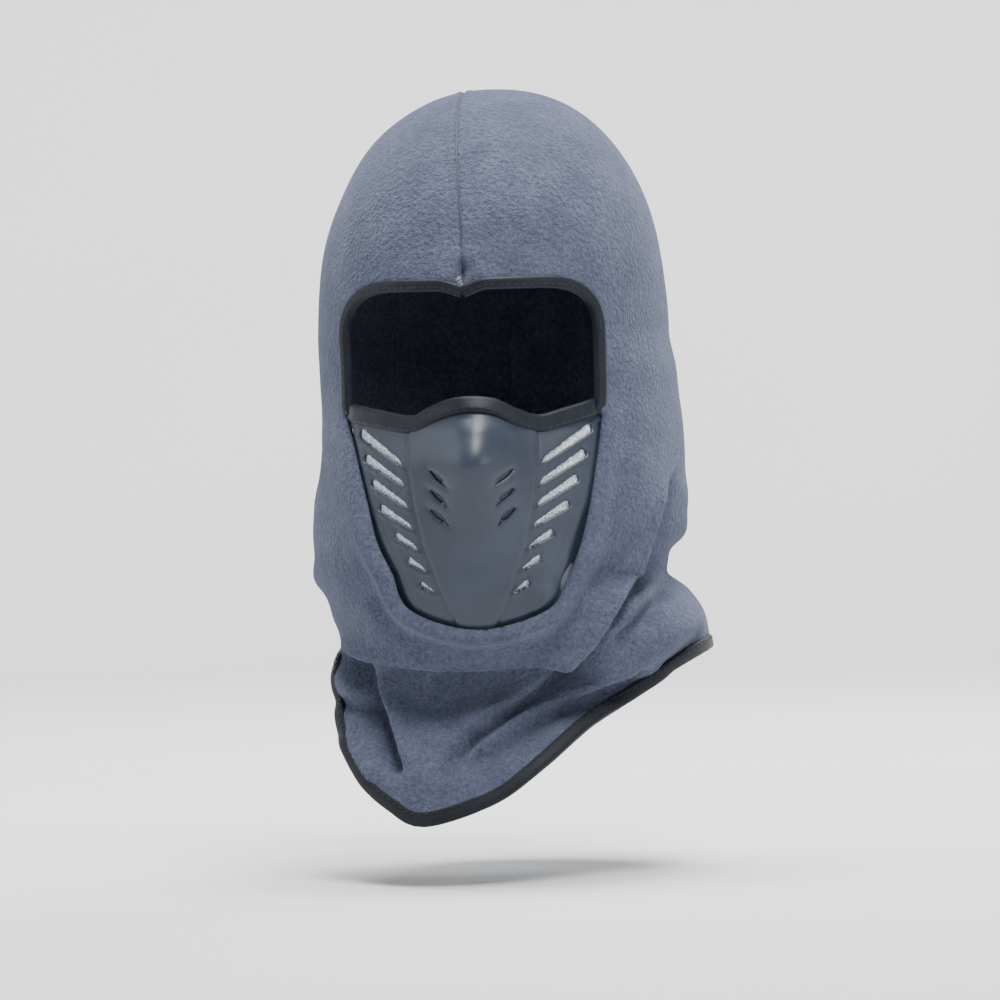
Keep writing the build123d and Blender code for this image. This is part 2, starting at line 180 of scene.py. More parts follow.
def nearest(line, x, z, closed=False):
    """For each (x, z): nearest point of line, distance (positive to the line's left), share."""
    a = line if closed else line[:-1]
    b = np.roll(line, -1, 0) if closed else line[1:]
    best = np.full(len(x), 1e9)
    near = np.zeros((len(x), 2))
    signed, share = np.zeros(len(x)), np.zeros(len(x))
    for k, (p, q) in enumerate(zip(a, b)):
        run = q - p
        length2 = max(run @ run, 1e-9)
        raw = ((x - p[0]) * run[0] + (z - p[1]) * run[1]) / length2
        t = np.clip(raw, 0, 1)
        nx, nz = p[0] + t * run[0], p[1] + t * run[1]
        d = np.hypot(x - nx, z - nz)
        closer = d < best
        best = np.where(closer, d, best)
        side = np.sign(run[0] * (z - p[1]) - run[1] * (x - p[0]))
        signed = np.where(closer, side * d, signed)
        share = np.where(closer, (k + t) / len(a), share)
        near[closer, 0], near[closer, 1] = nx[closer], nz[closer]
    return near, signed, share


def inside(outline, x, z):
    """True where (x, z) is inside the closed outline."""
    hit = np.zeros(len(x), bool)
    for p, q in zip(outline, np.roll(outline, -1, 0)):
        spans = (p[1] > z) != (q[1] > z)
        cross = p[0] + (z - p[1]) * (q[0] - p[0]) / (q[1] - p[1] + 1e-12)
        hit ^= spans & (x < cross)
    return hit


# ---------------------------------------------------------------- form of the worn hood
def reaches(z):
    """Left, right, front and back reach, nose share and middle of the ring at height z."""
    z = np.asarray(z, float)
    left, right, front, back, nose = (
        hermite(np.minimum(z, WIDEST), RINGS[:, 0], RINGS[:, k]) for k in range(1, 6))
    rise = np.clip((z - WIDEST) / (CROWN - WIDEST), 0, 1)
    spread = (1 - rise ** (2 / DOME_ROUND)).clip(0) ** (DOME_ROUND / 2)
    lean = rise ** 2
    return (left * spread, right * spread, front * spread, back * spread, nose * (rise <= 0),
            LEAN_RIGHT * lean, LEAN_BACK * lean)


def form(turn, z):
    """Point of the hood's outer form: turn 0 is the back, 90 the wearer's left, 180 the front."""
    left, right, front, back, nose, middle_x, middle_y = reaches(z)
    across, along = np.sin(turn), np.cos(turn)
    x = across * np.where(across > 0, right, left)
    y = along * np.where(along > 0, back, front)
    y = y - (along < 0) * nose * NOSE_DEPTH * bell(x, NOSE_MIDDLE, NOSE_HALF_WIDTH)
    return np.stack([x + middle_x, y + middle_y, np.broadcast_to(z, np.shape(x))], -1)


def front_turn(x, z):
    """The turn at which the front of the form is at (x, z)."""
    left, right, _, _, _, middle_x, _ = reaches(z)
    share = (x - middle_x) / np.where(x > middle_x, right, left).clip(1e-6)
    return math.pi - np.arcsin(np.clip(share, -0.9999, 0.9999))


def front(x, z):
    """Point of the front of the form at (x, z)."""
    x, z = np.asarray(x, float), np.asarray(z, float)
    return form(front_turn(x, z), z)


def front_normal(x, z):
    """Outward normal of the front of the form at (x, z)."""
    e = 0.5
    x, z = np.asarray(x, float), np.asarray(z, float)
    du = front(x + e, z) - front(x - e, z)
    dv = front(x, z + e) - front(x, z - e)
    n = np.cross(du, dv)
    n /= np.linalg.norm(n, axis=-1, keepdims=True)
    return n * np.where(n[..., 1:2] > 0, -1, 1)


def seam_x(y, z):
    """Where the seam runs: over the brow, the crown and down the back, a little to one side."""
    brow = NOTCH_X - 5.8 * ramp(z, 44, CROWN)
    nape = -9.0 + 7.0 * (1 - ramp(z, 60, CROWN))
    return np.where(y < LEAN_BACK, brow, nape)


# ---------------------------------------------------------------- openings
def mask_line(by):
    """The mask's sides and foot as one line, pushed out from its middle, less at its foot."""
    line = smooth_line(MASK_LEFT[::-1] + (MASK_FOOT,) + MASK_RIGHT[::-1], step=2)
    away = line - np.array(MASK_MIDDLE)
    away /= np.linalg.norm(away, axis=1, keepdims=True)
    return line + away * np.array((by, by * 0.6))


def face_opening():
    """The one opening in the fleece: the eye slot with the mask's opening under it."""
    slot = rounded(
        [(EYE_RIGHT, -15), (EYE_RIGHT, EYE_TOP), (NOTCH_X + 9, EYE_TOP - 1), (NOTCH_X, NOTCH_Z + 1),
         (NOTCH_X - 9, EYE_TOP - 1.5), (EYE_LEFT, EYE_TOP), (EYE_LEFT, -12)],
        [0, EYE_CORNER, 3, 1, 3, EYE_CORNER, 0])
    return np.vstack([slot, mask_line(RIM_CLEAR)[1:-1]])


def plate_outline(under_rim=5.0, under_tape=1.2):
    """The plate's own edge: under the fleece round the sides, inside the nose tape on top."""
    top = smooth_line(NOSE_TAPE[::-1], step=2) + np.array((0, under_tape))
    return np.vstack([mask_line(under_rim), top])


OPENING = face_opening()


# ---------------------------------------------------------------- folds
# A step fold has a high side that rolls over a low one. Each row: its line in the front view,
# height and width of the high side, depth and width of the low side. The high side is at the
# line's left hand; a negative height puts it at the right hand.
STEP_FOLDS = (
    # the long fold from behind the left cheek down to the tip of the skirt
    (((90, -36), (84, -46), (77, -68), (68, -92), (53, -115), (37, -131), (14, -144), (2, -152),
      (-12, -163), (-24, -176)), -5.5, 8, 9.5, 5.5),
    # the roll under it
    (((72, -128), (60, -135), (45, -141), (27, -147), (14, -154), (2, -162), (-8, -171)),
     -4.5, 7, 8.0, 7),
    # the jaw's lower edge, over the tucked throat
    (((46, -129), (30, -128), (3, -130), (-27, -129), (-54, -124), (-68, -114)), -3.0, 7, 8.5, 12),
    # the steep ridge from the right jaw down to the tip
    (((-69, -112), (-60, -123), (-53, -132), (-46, -146), (-40, -160), (-34, -176)), 5.5, 9, 9.0, 7),
)
# A soft fold is a ridge. Each row: its line, height (negative for a valley) and width.
SOFT_FOLDS = (
    (((84, -90), (78, -101), (69, -112), (58, -123)), -7.0, 4.0),
    (((81, -82), (71, -98), (60, -112), (47, -127)), 2.5, 5.0),
    (((100, -103), (86, -114), (71, -126), (56, -134), (36, -138)), 3.5, 5.0),
    (((103, -112), (92, -122), (78, -133)), -3.0, 3.5),
    (((79, -6), (74, -28), (66, -50), (53, -72), (45, -88)), 2.4, 8.0),
    (((66, -36), (60, -58), (52, -76)), -1.5, 6.0),
    (((-76, -8), (-70, -28), (-62, -50), (-52, -71), (-46, -83), (-36, -103)), 2.6, 5.5),
    (((-80, -30), (-73, -55), (-64, -80), (-52, -102)), -2.0, 7.0),
    (((-80, -128), (-70, -134), (-58, -137), (-51, -136)), 6.0, 6.0),
    (((-80, -142), (-68, -144), (-57, -145), (-48, -143)), -4.5, 3.5),
    (((-68, -158), (-58, -166), (-46, -178)), 2.5, 7.0),
    (((30, -165), (12, -175), (-8, -184)), 1.5, 6.0),
    (((-20, -150), (-26, -165), (-28, -182)), 2.0, 7.0),
    (((-14, -160), (-18, -175), (-20, -188)), -2.5, 4.0),
)


def front_folds(x, z):
    """Outward height of the cloth's folds over the front of the form."""
    h = np.zeros(len(x))
    for line, rise, above, fall, below in STEP_FOLDS:
        _, d, share = nearest(smooth_line(line, step=4), x, z)
        if rise < 0:
            d, rise = -d, -rise
        ends = ramp(share, 0, 0.12) * (1 - ramp(share, 0.85, 1))
        high = 0.5 + 0.5 * np.tanh(d / 1.3)
        h += ends * (high * rise * bell(d, 0, above) - (1 - high) * fall * bell(d, 0, below))
    for line, rise, width in SOFT_FOLDS:
        _, d, share = nearest(smooth_line(line, step=4), x, z)
        ends = ramp(share, -0.05, 0.2) * (1 - ramp(share, 0.8, 1.05))
        h += ends * rise * bell(d, 0, width)
    return h


def rim(x, z):
    """The rolled edge of the fleece round the mask, fading out beside the eyes."""
    _, d, _ = nearest(OPENING, x, z, closed=True)
    d = np.abs(d)
    low = 1 - ramp(z, -24, -6)
    foot = 1 - ramp(z, -104, -70)
    return low * ((1.3 + 2.3 * foot) * bell(d, 3.8, 3.4) - (0.9 + 2.1 * foot) * bell(d, 11.5, 3.8))


def relief(p):
    """Outward height of the cloth over the form at the points p: folds, slack and seam."""
    x, y, z = p[:, 0], p[:, 1], p[:, 2]
    facing = ramp(-y, 0, 40)
    # the folds flatten where the skirt's left edge is pulled in tight
    tight = 1 - 0.75 * ramp(-x, 62, 74) * (1 - ramp(z, -128, -112))
    h = facing * tight * (front_folds(x, z) + rim(x, z))
    # slanting rings of slack at the nape, broad waves over the back of the head, faint unevenness
    turn = np.arctan2(x, y)
    behind = ramp(y, -45, 25)
    slant = z + 9 * np.sin(turn * 1.5 + 0.6)
    h += behind * bell(z, -84, 30) * (2.3 * np.sin(slant / 5.6) + 1.2 * np.sin(slant / 3.1 + turn * 3))
    h += behind * bell(z, -20, 34) * 0.9 * np.sin(slant / 9 + turn * 2.2)
    h += 0.5 * np.sin(x / 13 + z / 21) * np.sin(z / 17 - y / 19 + 1.3)
    # the seam's groove with a row of pulls on each side; way is the length along the seam
    d = x - seam_x(y, z)
    sewn = np.where(y < LEAN_BACK, ramp(z, 38, 44), 1.0)
    way = 112 * np.arctan2(z - WIDEST, -y)
    pull = 0.55 + 0.45 * np.sin(way * 2 * math.pi / SEAM_PITCH)
    both_sides = bell(d, 2.2, 1.3) + bell(d, -2.2, 1.3)
    h += sewn * (-1.5 * bell(d, 0, 0.75) + (0.15 + 0.3 * pull) * both_sides)
    # the pucker over the notch: a pit, a swelling over it and one on each side
    h -= facing * 2.6 * bell(x, NOTCH_X, 2.6) * bell(z, 48.5, 4.0)
    h += facing * 1.3 * bell(x, NOTCH_X, 7) * bell(z, 53, 6)
    h += facing * 1.2 * (bell(x, NOTCH_X - 8, 4) + bell(x, NOTCH_X + 8, 4)) * bell(z, 47, 3.5)
    return h


def cloth(x, z, lift=0.0):
    """Points on the fleece's outer face at the front, lift above it, with their normals."""
    p, n = front(x, z), front_normal(x, z)
    return p + n * (relief(p) + lift)[:, None], n


# ---------------------------------------------------------------- mesh tools
def make_piece(name, verts, faces, material, slot, node):
    """A smooth-shaded object from millimetres, which takes the place of the model's node."""
    mesh = bpy.data.meshes.new(name)
    mesh.from_pydata((np.asarray(verts) * MM).tolist(), [], faces)
    mesh.polygons.foreach_set("use_smooth", [True] * len(mesh.polygons))
    mesh.materials.append(material)
    mesh.update()
    obj = bpy.data.objects.new(name, mesh)
    bpy.context.scene.collection.objects.link(obj)
    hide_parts(node)
    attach(obj, "root")
    return obj


def rim_edges(faces):
    """The directed edges that only one face has."""
    seen = dict.fromkeys((a, b) for f in faces for a, b in zip(f, f[1:] + f[:1]))
    return [(a, b) for a, b in seen if (b, a) not in seen]


def mesh_normals(verts, faces):
    """Blender's normal at every vert."""
    mesh = bpy.data.meshes.new("scratch")
    mesh.from_pydata(verts.tolist(), [], faces)
    mesh.update()
    n = np.empty(len(verts) * 3)
    mesh.vertex_normals.foreach_get("vector", n)
    bpy.data.meshes.remove(mesh)
    return n.reshape(-1, 3)


def drop_loose(verts, faces):
    """Verts and faces without the verts that no face uses."""
    used = sorted({i for f in faces for i in f})
    index = {old: new for new, old in enumerate(used)}
    return verts[used], [tuple(index[i] for i in f) for f in faces]


def shell(verts, faces, thick, swell=0.0):
    """A closed sheet: the given outer face, an inner one thick below it and a rounded edge."""
    n = mesh_normals(verts, faces)
    count = len(verts)
    edges = rim_edges(faces)
    out = np.vstack([verts, verts - n * thick])
    all_faces = list(faces) + [tuple(i + count for i in reversed(f)) for f in faces]
    rim_ids = sorted({i for e in edges for i in e})
    along = {i: np.zeros(3) for i in rim_ids}
    for a, b in edges:
        run = verts[b] - verts[a]
        along[a] += run
        along[b] += run
    middle = {}
    extra = []
    for i in rim_ids:
        away = np.cross(along[i], n[i])
        away /= max(np.linalg.norm(away), 1e-9)
        middle[i] = 2 * count + len(extra)
        extra.append(verts[i] - n[i] * thick / 2 + away * swell)
    out = np.vstack([out, np.array(extra)])
    for a, b in edges:
        all_faces.append((b, a, middle[a], middle[b]))
        all_faces.append((middle[b], middle[a], a + count, b + count))
    return out, all_faces


def sweep(points, sides, ups, profile):
    """A tube of the given cross-section (side, up) along points, closed at both ends."""
    n, m = len(points), len(profile)
    verts = (points[:, None, :] + sides[:, None, :] * profile[None, :, :1]
             + ups[:, None, :] * profile[None, :, 1:2])
    faces = []
    for i in range(n - 1):
        a, b = i * m, (i + 1) * m
        for k in range(m):
            after = (k + 1) % m
            faces.append((a + k, a + after, b + after, b + k))
    faces.append(tuple(range(m))[::-1])
    faces.append(tuple((n - 1) * m + k for k in range(m)))
    return verts.reshape(-1, 3), faces


def tape_profile(width, low, high, groove, groove_at):
    """A folded tape's cross-section: rounded edges and a groove where it is sewn."""
    squarer, flatter = 0.5, 0.7
    out = []
    for a in np.linspace(0, 2 * math.pi, 28, endpoint=False):
        c, s = math.cos(a), math.sin(a)
        side = width / 2 * math.copysign(abs(c) ** squarer, c)
        up = (low + high) / 2 + (high - low) / 2 * math.copysign(abs(s) ** flatter, s)
        if s > 0:
            up -= groove * math.exp(-(((side - groove_at * width) / (0.09 * width)) ** 2))
        out.append((side, up))
    return np.array(out)


def path_frame(points, ups):
    """Unit vectors along, across and out at each point of a path."""
    run = np.gradient(points, axis=0)
    run /= np.linalg.norm(run, axis=1, keepdims=True)
    sides = np.cross(run, ups)
    sides /= np.linalg.norm(sides, axis=1, keepdims=True)
    ups = np.cross(sides, run)
    return run, sides, ups


def spaced(points, step):
    """Points every step along a line of 3-D points, as (indices, shares) to look values up."""
    length = np.r_[0, np.cumsum(np.linalg.norm(np.diff(points, axis=0), axis=1))]
    at = np.arange(step / 2, length[-1], step)
    i = np.clip(np.searchsorted(length, at) - 1, 0, len(points) - 2)
    return i, (at - length[i]) / (length[i + 1] - length[i])


def stitches(points, ups, side_shift, lift, long, wide, pitch, slant=0.0):
    """Small raised thread beads along a path, as one mesh."""
    run, sides, up = path_frame(points, ups)
    rows, around = 5, 6
    verts, faces = [], []
    for i, t in zip(*spaced(points, pitch)):
        centre = points[i] * (1 - t) + points[i + 1] * t + sides[i] * side_shift + up[i] * lift
        way = run[i] * math.cos(slant) + sides[i] * math.sin(slant)
        across = np.cross(up[i], way)
        start = len(verts)
        for r in range(rows):
            a = math.pi * (r + 0.5) / rows
            for k in range(around):
                b = 2 * math.pi * k / around
                verts.append(centre - way * math.cos(a) * long / 2
                             + (across * math.cos(b) + up[i] * math.sin(b)) * math.sin(a) * wide / 2)
        for r in range(rows - 1):
            a, b = start + r * around, start + (r + 1) * around
            for k in range(around):
                after = (k + 1) % around
                faces.append((a + k, b + k, b + after, a + after))
        faces.append(tuple(start + k for k in range(around)))
        faces.append(tuple(start + (rows - 1) * around + k for k in range(around))[::-1])
    return np.array(verts), faces


# ---------------------------------------------------------------- materials
def srgb(r, g, b):
    """A colour given as it is seen, 0 to 255, as Blender's linear values."""
    return tuple(c / 255 / 12.92 if c < 10 else ((c / 255 + 0.055) / 1.055) ** 2.4
                 for c in (r, g, b)) + (1,)


class Paint:
    """A procedural material and the node chains that it is made of."""

    def __init__(self, name, roughness, sheen=0.0, specular=0.5, sheen_tint=(1, 1, 1, 1)):
        self.material = bpy.data.materials.new(name)
        self.material.use_nodes = True
        self.nodes = self.material.node_tree.nodes
        self.links = self.material.node_tree.links
        self.shader = self.nodes["Principled BSDF"]
        self.shader.inputs["Roughness"].default_value = roughness
        self.shader.inputs["Sheen Weight"].default_value = sheen
        self.shader.inputs["Sheen Roughness"].default_value = 0.45
        self.shader.inputs["Sheen Tint"].default_value = sheen_tint
        self.shader.inputs["Specular IOR Level"].default_value = specular
        self.where = self.nodes.new("ShaderNodeTexCoord").outputs["Object"]

    def noise(self, size, detail=3, stretch=None, rough=0.5):
        """Noise whose blobs are about size mm across."""
        node = self.nodes.new("ShaderNodeTexNoise")
        node.inputs["Scale"].default_value = 1 / (size * MM)
        node.inputs["Detail"].default_value = detail
        node.inputs["Roughness"].default_value = rough
        source = self.where
        if stretch:
            mapping = self.nodes.new("ShaderNodeMapping")
            mapping.inputs["Scale"].default_value = stretch
            self.links.new(source, mapping.inputs["Vector"])
            source = mapping.outputs["Vector"]
        self.links.new(source, node.inputs["Vector"])
        return node.outputs["Fac"]

    def cells(self, size):
        """Distance to the middle of cells about size mm across."""
        node = self.nodes.new("ShaderNodeTexVoronoi")
        node.inputs["Scale"].default_value = 1 / (size * MM)
        self.links.new(self.where, node.inputs["Vector"])
        return node.outputs["Distance"]

    def mixed(self, a, b, share):
        """a with the given share of b mixed in."""
        node = self.nodes.new("ShaderNodeMix")
        node.inputs["Factor"].default_value = share
        self.links.new(a, node.inputs["A"])
        self.links.new(b, node.inputs["B"])
        return node.outputs["Result"]

    def colours(self, fac, *stops):
        """Colours between the (position, colour) stops, by fac."""
        node = self.nodes.new("ShaderNodeValToRGB")
        elements = node.color_ramp.elements
        while len(elements) < len(stops):
            elements.new(0.5)
        for element, (at, colour) in zip(elements, stops):
            element.position = at
            element.color = colour
        self.links.new(fac, node.inputs["Fac"])
        return node.outputs["Color"]

    def tint(self, colour, other):
        """The two colours multiplied."""
        node = self.nodes.new("ShaderNodeMix")
        node.data_type = "RGBA"
        node.blend_type = "MULTIPLY"
        node.inputs["Factor"].default_value = 1.0
        self.links.new(colour, node.inputs["A"])
        self.links.new(other, node.inputs["B"])
        return node.outputs["Result"]

    def base(self, colour):
        """Sets the shader's colour."""
        self.links.new(colour, self.shader.inputs["Base Color"])

    def bump(self, height, mm, strength, over=None):
        """A normal bumped by the height, mm deep, over an earlier bump."""
        node = self.nodes.new("ShaderNodeBump")
        node.inputs["Distance"].default_value = mm * MM
        node.inputs["Strength"].default_value = strength
        self.links.new(height, node.inputs["Height"])
        if over is not None:
            self.links.new(over, node.inputs["Normal"])
        return node.outputs["Normal"]

    def normal(self, bump):
        """Sets the shader's normal."""
        self.links.new(bump, self.shader.inputs["Normal"])


def fleece_material():
    """Pebbled nap with finer curls in it, in patches of slightly different tone."""
    paint = Paint("fleece_nap", 0.95, sheen=0.14, specular=0.12, sheen_tint=srgb(205, 214, 232))
    pebbles = paint.noise(2.1, detail=2, rough=0.5)
    curls = paint.noise(0.9, detail=2, rough=0.5)
    patches = paint.noise(16, detail=2)
    nap = paint.mixed(pebbles, curls, 0.45)
    fine = paint.colours(nap, (0.3, srgb(64, 68, 82)), (0.5, srgb(76, 80, 98)), (0.72, srgb(90, 95, 115)))
    broad = paint.colours(patches, (0.3, srgb(226, 228, 232)), (0.7, srgb(255, 255, 255)))
    paint.base(paint.tint(fine, broad))
    soft = paint.bump(pebbles, 1.5, 0.85)
    paint.normal(paint.bump(curls, 0.8, 0.8, over=soft))
    return paint.material


def tape_material(name, dark, light, roughness, sheen):
    """Fine knit ribs with a little wear."""
    paint = Paint(name, roughness, sheen=sheen, specular=0.22)
    ribs = paint.noise(0.45, detail=2, stretch=(1, 1, 0.35))
    wear = paint.noise(7, detail=3)
    both = paint.mixed(ribs, wear, 0.5)
    paint.base(paint.colours(both, (0.35, dark), (0.65, light)))
    paint.normal(paint.bump(ribs, 0.18, 0.6, over=paint.bump(wear, 0.5, 0.4)))
    return paint.material


def thread_material(name, colour):
    """Thread with a fine twist."""
    paint = Paint(name, 0.6, sheen=0.1, specular=0.3)
    twist = paint.noise(0.3, detail=1, stretch=(1, 1, 0.3))
    deep = tuple(c * 0.55 for c in colour[:3]) + (1,)
    paint.base(paint.colours(twist, (0.35, deep), (0.65, colour)))
    paint.normal(paint.bump(twist, 0.12, 0.8))
    return paint.material


def plate_material():
    """Soft moulded plastic with cloudy tone and gloss."""
    paint = Paint("mask_rubber", 0.4, specular=0.36)
    grain = paint.noise(0.5, detail=2)
    cloud = paint.noise(22, detail=3)
    paint.base(paint.colours(cloud, (0.3, srgb(38, 44, 55)), (0.7, srgb(46, 53, 66))))
    rough = paint.nodes.new("ShaderNodeMapRange")
    rough.inputs["To Min"].default_value = 0.3
    rough.inputs["To Max"].default_value = 0.45
    paint.links.new(cloud, rough.inputs["Value"])
    paint.links.new(rough.outputs["Result"], paint.shader.inputs["Roughness"])
    paint.normal(paint.bump(grain, 0.05, 0.6))
    return paint.material


def mesh_material():
    """Pale knotted filter mesh, with painted glints: bright specks of painted highlight in its colour."""
    paint = Paint("filter_mesh", 0.42, specular=0.7)
    knots = paint.cells(0.8)
    # painted glints: noise specks that brighten the colour towards white as painted highlight
    painted_glints = paint.noise(1.1, detail=3, rough=0.7)
    both = paint.mixed(knots, painted_glints, 0.55)
    # the pale greys are the knotted mesh's own colour; the near-white top stop is painted highlight for
    # the glints
    paint.base(paint.colours(both, (0.3, srgb(112, 120, 132)), (0.48, srgb(190, 198, 212)),
                             (0.6, srgb(240, 244, 250))))
    paint.normal(paint.bump(both, 0.6, 0.9))
    return paint.material


def plain_material(name, colour, roughness):
    """One colour that drifts very slightly."""
    paint = Paint(name, roughness, specular=0.2)
    soft = paint.noise(400, detail=1)
    near = tuple(min(1, c * 1.03) for c in colour[:3]) + (1,)
    paint.base(paint.colours(soft, (0.3, colour), (0.7, near)))
    return paint.material


MATERIALS = {
    "fleece": fleece_material(),
    "binding": tape_material("binding_knit", srgb(9, 13, 21), srgb(20, 26, 37), roughness=0.5, sheen=0.04),
    "hem": tape_material("hem_knit", srgb(8, 11, 17), srgb(18, 23, 31), roughness=0.6, sheen=0.04),
    "black_thread": thread_material("thread_black", srgb(24, 28, 34)),
    "seam_thread": thread_material("thread_seam", srgb(54, 60, 73)),
    "grey_thread": thread_material("thread_grey", srgb(66, 74, 88)),
    "pale_thread": thread_material("thread_tack", srgb(150, 158, 172)),
    "plate": plate_material(),
    "mesh": mesh_material(),
    "liner": tape_material("liner_knit", srgb(62, 67, 76), srgb(92, 98, 109), roughness=0.8, sheen=0.15),
}


# ---------------------------------------------------------------- the hood
def hem_height(turn):
    """Height of the hem at each turn: HEM_LINE in front, level behind, a short rise between."""
    points = smooth_line(HEM_LINE, step=3)
    at = front_turn(points[:, 0], points[:, 1])
    order = np.argsort(at)
    at, heights = at[order], points[order, 1]
    low = np.interp(turn, at, heights, left=HEM_BACK, right=HEM_BACK)
    past = np.where(turn > at[-1], (turn - at[-1]) / 0.5, 0).clip(0, 1)
    return np.where(turn > at[-1], heights[-1] + (HEM_BACK - heights[-1]) * ramp(past, 0, 1), low)


def hood_grid(columns=264, dome_rows=72, side_rows=104):
    """The form as a grid of quads from the crown to the hem."""
    turn = np.linspace(0, 2 * math.pi, columns, endpoint=False)
    hem = hem_height(turn)
    rows = []
    for a in np.linspace(math.pi / 2, 0, dome_rows + 1)[1:]:
        rows.append(np.full(columns, WIDEST + (CROWN - WIDEST) * math.sin(a) ** DOME_ROUND))
    for s in np.arange(1, side_rows + 1) / side_rows:
        rows.append(WIDEST + (hem - WIDEST) * s)
    tip = form(np.zeros(1), np.full(1, CROWN - 1e-6))
    verts = np.vstack([tip] + [form(turn, z) for z in rows])
    faces = [(0, 1 + (k + 1) % columns, 1 + k) for k in range(columns)]
    for r in range(len(rows) - 1):
        a, b = 1 + r * columns, 1 + (r + 1) * columns
        for k in range(columns):
            after = (k + 1) % columns
            faces.append((a + k, a + after, b + after, b + k))
    return verts, faces


def middles(verts, faces):
    """The middle of each face."""
    return np.array([verts[list(f)].mean(0) for f in faces])


def cut(verts, faces, outline, put_back):
    """Removes the faces inside the outline and brings the cut edge onto it. put_back gives
    points on the sheet at (x, z). Only the side that faces the front is cut."""
    reach = 3.0
    centre = middles(verts, faces)
    gone = inside(outline, centre[:, 0], centre[:, 2]) & (centre[:, 1] < 0)
    verts, faces = drop_loose(verts, [f for f, g in zip(faces, gone) if not g])
    ids = np.array(sorted({i for e in rim_edges(faces) for i in e}))
    near, d, _ = nearest(outline, verts[ids, 0], verts[ids, 2], closed=True)
    mine = (np.abs(d) < reach) & (verts[ids, 1] < 0)
    verts[ids[mine]] = put_back(near[mine, 0], near[mine, 1])
    return verts, faces


def cut_near(verts, faces, outline, put_back):
    """cut() for a small hole: only edge verts within a cell of this outline move."""
    centre = middles(verts, faces)
    gone = inside(outline, centre[:, 0], centre[:, 2])
    touched = {i for f, g in zip(faces, gone) if g for i in f}
    faces = [f for f, g in zip(faces, gone) if not g]
    left = {i for f in faces for i in f}
    ids = np.array(sorted(touched & left), int)
    if len(ids):
        near, _, _ = nearest(outline, verts[ids, 0], verts[ids, 2], closed=True)
        verts[ids] = put_back(near[:, 0], near[:, 1])
    return drop_loose(verts, faces)


def refine_seam(verts, faces):
    """Divides the faces along the seam finely enough to hold its groove."""
    mesh = bpy.data.meshes.new("scratch")
    mesh.from_pydata(verts.tolist(), [], faces)
    bm = bmesh.new()
    bm.from_mesh(mesh)
    close = np.abs(verts[:, 0] - seam_x(verts[:, 1], verts[:, 2])) < 4.5
    bm.verts.ensure_lookup_table()
    chosen = [e for e in bm.edges if close[e.verts[0].index] and close[e.verts[1].index]]
    bmesh.ops.subdivide_edges(bm, edges=chosen, cuts=2, use_grid_fill=True)
    bm.to_mesh(mesh)
    bm.free()
    out = np.empty(len(mesh.vertices) * 3)
    mesh.vertices.foreach_get("co", out)
    new_faces = [tuple(p.vertices) for p in mesh.polygons]
    bpy.data.meshes.remove(mesh)
    return out.reshape(-1, 3), new_faces


def make_hood():
    """The fleece: grid, opening, seam, folds and thickness, in that order."""
    verts, faces = hood_grid()
    verts, faces = cut(verts, faces, OPENING, front)
    verts, faces = refine_seam(verts, faces)
    verts = verts + mesh_normals(verts, faces) * relief(verts)[:, None]
    verts, faces = shell(verts, faces, FLEECE, swell=0.9)
    return make_piece("fleece_hood", verts, faces, MATERIALS["fleece"], "fleece", "hood_fleece")


# ---------------------------------------------------------------- tapes
def on_cloth(line, lift=0.0):
    """A front-view line laid on the cloth: 3-D points and normals."""
    return cloth(line[:, 0], line[:, 1], lift)


def make_eye_tapes():
    """Two tapes round the eye slot, meeting at the notch, with their stitches."""
    lines = {
        "left": rounded(
            [(EYE_RIGHT - 0.4, -16), (EYE_RIGHT + 0.3, EYE_TOP + 0.6),
             (NOTCH_X + 9, EYE_TOP - 0.4), (NOTCH_X + 0.1, NOTCH_Z + 0.6)],
            [0, EYE_CORNER, 3, 0], steps=14),
        "right": rounded(
            [(NOTCH_X - 0.1, NOTCH_Z + 0.6), (NOTCH_X - 9, EYE_TOP - 0.8),
             (EYE_LEFT - 0.3, EYE_TOP + 0.3), (EYE_LEFT - 0.2, -14)],
            [0, 3, EYE_CORNER, 0], steps=14),
    }
    profile = tape_profile(5.4, low=-3.6, high=1.3, groove=0.45, groove_at=-0.22)
    pieces, beads = [], []
    for side, line in lines.items():
        line = even(line)
        points, ups = on_cloth(line)
        # the lower end sinks in behind the nose tape
        points = points - ups * (3.0 * (1 - ramp(line[:, 1], -17, -9)))[:, None]
        _, sides, up = path_frame(points, ups)
        verts, faces = sweep(points, sides, up, profile)
        pieces.append(make_piece("bound_edge_" + side, verts, faces, MATERIALS["binding"],
                                 "binding_black", "eye_binding_" + side))
        beads.append(stitches(points, ups, side_shift=-1.2, lift=1.05, **TAPE_BEADS))
    pieces.append(make_piece("bound_edge_stitches", *joined(beads), MATERIALS["black_thread"],
                             "thread_black", "eye_binding_stitches"))
    return pieces


def make_bar_tack():
    """A few crossing stitches that lock the seam where the two tapes meet."""
    line = even(np.array(((NOTCH_X - 1.6, EYE_TOP + 2.6), (NOTCH_X + 0.4, NOTCH_Z + 0.8))), 0.5)
    p, n = on_cloth(line)
    beads = stitches(p, n, side_shift=0, lift=1.35, **TACK_BEADS)
    make_piece("notch_tack", *beads, MATERIALS["pale_thread"], "thread_grey", "notch_bar_tack")


def joined(parts):
    """Several (verts, faces) as one."""
    verts, faces, shift = [], [], 0
    for v, f in parts:
        verts.append(v)
        faces += [tuple(i + shift for i in face) for face in f]
        shift += len(v)
    return np.vstack(verts), faces


